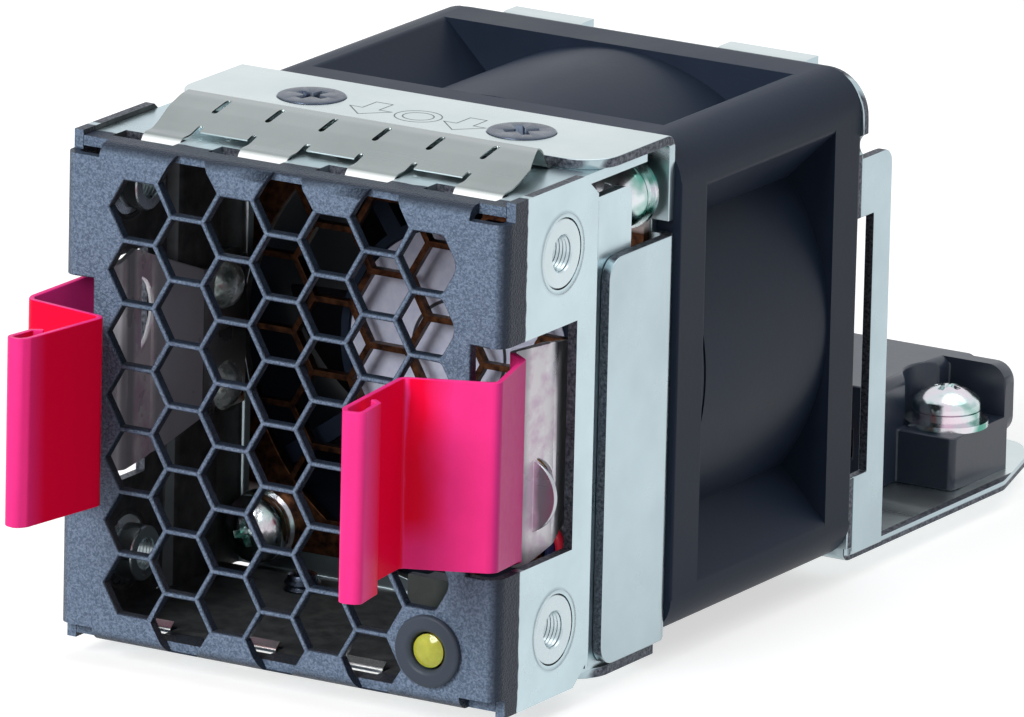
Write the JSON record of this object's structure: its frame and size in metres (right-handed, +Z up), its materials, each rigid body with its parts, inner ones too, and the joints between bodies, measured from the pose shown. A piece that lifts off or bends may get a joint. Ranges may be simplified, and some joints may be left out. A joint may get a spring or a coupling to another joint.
{
  "type": "server fan module",
  "caption": "Hot-swap cooling fan tray with a honeycomb front cover, two squeeze latches, an axial fan and a blind-mate connector on a tail plate.",
  "frame": {"origin": "centre of the footprint at the height of the lowest point, the crest of the lower shielding strip", "axes": "+Z up; +Y from the front cover to the connector; +X towards the side with the status light"},
  "size_m": [0.0426, 0.1084, 0.0437],
  "materials": {
    "cover": "textured dark slate powder coat in front, bare zinc-plated steel behind",
    "nut_steel": "zinc-plated steel",
    "bezel_black": "black moulded plastic",
    "led_lens": "tinted diffused epoxy, unlit",
    "board_green": "solder-masked circuit board",
    "strip_steel": "stainless spring strip",
    "latch_steel": "stainless spring strip, its handle powder coated crimson",
    "latch_bare": "bare stainless spring strip",
    "rivet_steel": "stainless",
    "zinc_sheet": "zinc-plated steel sheet, satin",
    "screw_dark": "dark plated steel",
    "guard_copper": "copper-toned plated sheet",
    "screw_zinc": "bright zinc plate",
    "fan_plastic": "black glass-filled plastic",
    "impeller_plastic": "black glass-filled plastic",
    "inner_steel": "pressed steel",
    "magnet_grey": "bonded ferrite",
    "coil_copper": "enamelled copper wire",
    "label_white": "blank satin film",
    "wire_sleeve": "coloured wire insulation",
    "plug_plastic": "black moulded plastic",
    "contact_metal": "gold-flashed contact metal"
  },
  "bodies": {
    "tray": {"front_cover": "cover", "clinch_nuts": "nut_steel", "led_bezel": "bezel_black", "status_led": "led_lens", "led_board": "board_green", "emi_strip_top": "strip_steel", "emi_strip_bottom": "strip_steel", "latch_root_right": "latch_bare", "latch_root_left": "latch_bare", "latch_rivets": "rivet_steel", "fan_bracket": "zinc_sheet", "cover_screws": "screw_dark", "fan_guard": "guard_copper", "fan_screws": "screw_zinc", "fan_spring_washers": "screw_zinc", "fan_flat_washers": "screw_zinc", "fan_frame": "fan_plastic", "bearing_outer_races": "inner_steel", "stator_core": "inner_steel", "stator_coils": "coil_copper", "motor_board": "board_green", "hub_label": "label_white", "fan_leads": "wire_sleeve", "led_leads": "wire_sleeve", "rear_bracket": "zinc_sheet", "rear_screws": "screw_zinc", "connector_housing": "plug_plastic", "connector_contacts": "contact_metal", "connector_screws": "screw_zinc", "connector_washers": "screw_zinc", "connector_spring_washers": "screw_zinc"},
    "rotor": {"impeller": "impeller_plastic", "rotor_yoke": "inner_steel", "rotor_magnet": "magnet_grey", "rotor_shaft": "inner_steel", "shaft_clip": "inner_steel", "bearing_inner_races": "inner_steel"},
    "latch_arm_right": {"latch_right": "latch_steel"},
    "latch_arm_left": {"latch_left": "latch_steel"}
  },
  "joints": [
    {"name": "impeller_spin", "type": "hinge", "parent": "tray", "child": "rotor", "pos_m": [0, 0.00244, 0.02185], "axis": [0, 1, 0], "continuous": true},
    {"name": "latch_right_flex", "type": "hinge", "parent": "tray", "child": "latch_arm_right", "pos_m": [0.01787, -0.02016, 0.02185], "axis": [0, 0, 1], "range_deg": [-6, 0], "stiffness_Nm_per_rad": 2.4},
    {"name": "latch_left_flex", "type": "hinge", "parent": "tray", "child": "latch_arm_left", "pos_m": [-0.01787, -0.02016, 0.02185], "axis": [0, 0, 1], "range_deg": [0, 6], "stiffness_Nm_per_rad": 2.4}
  ]
}
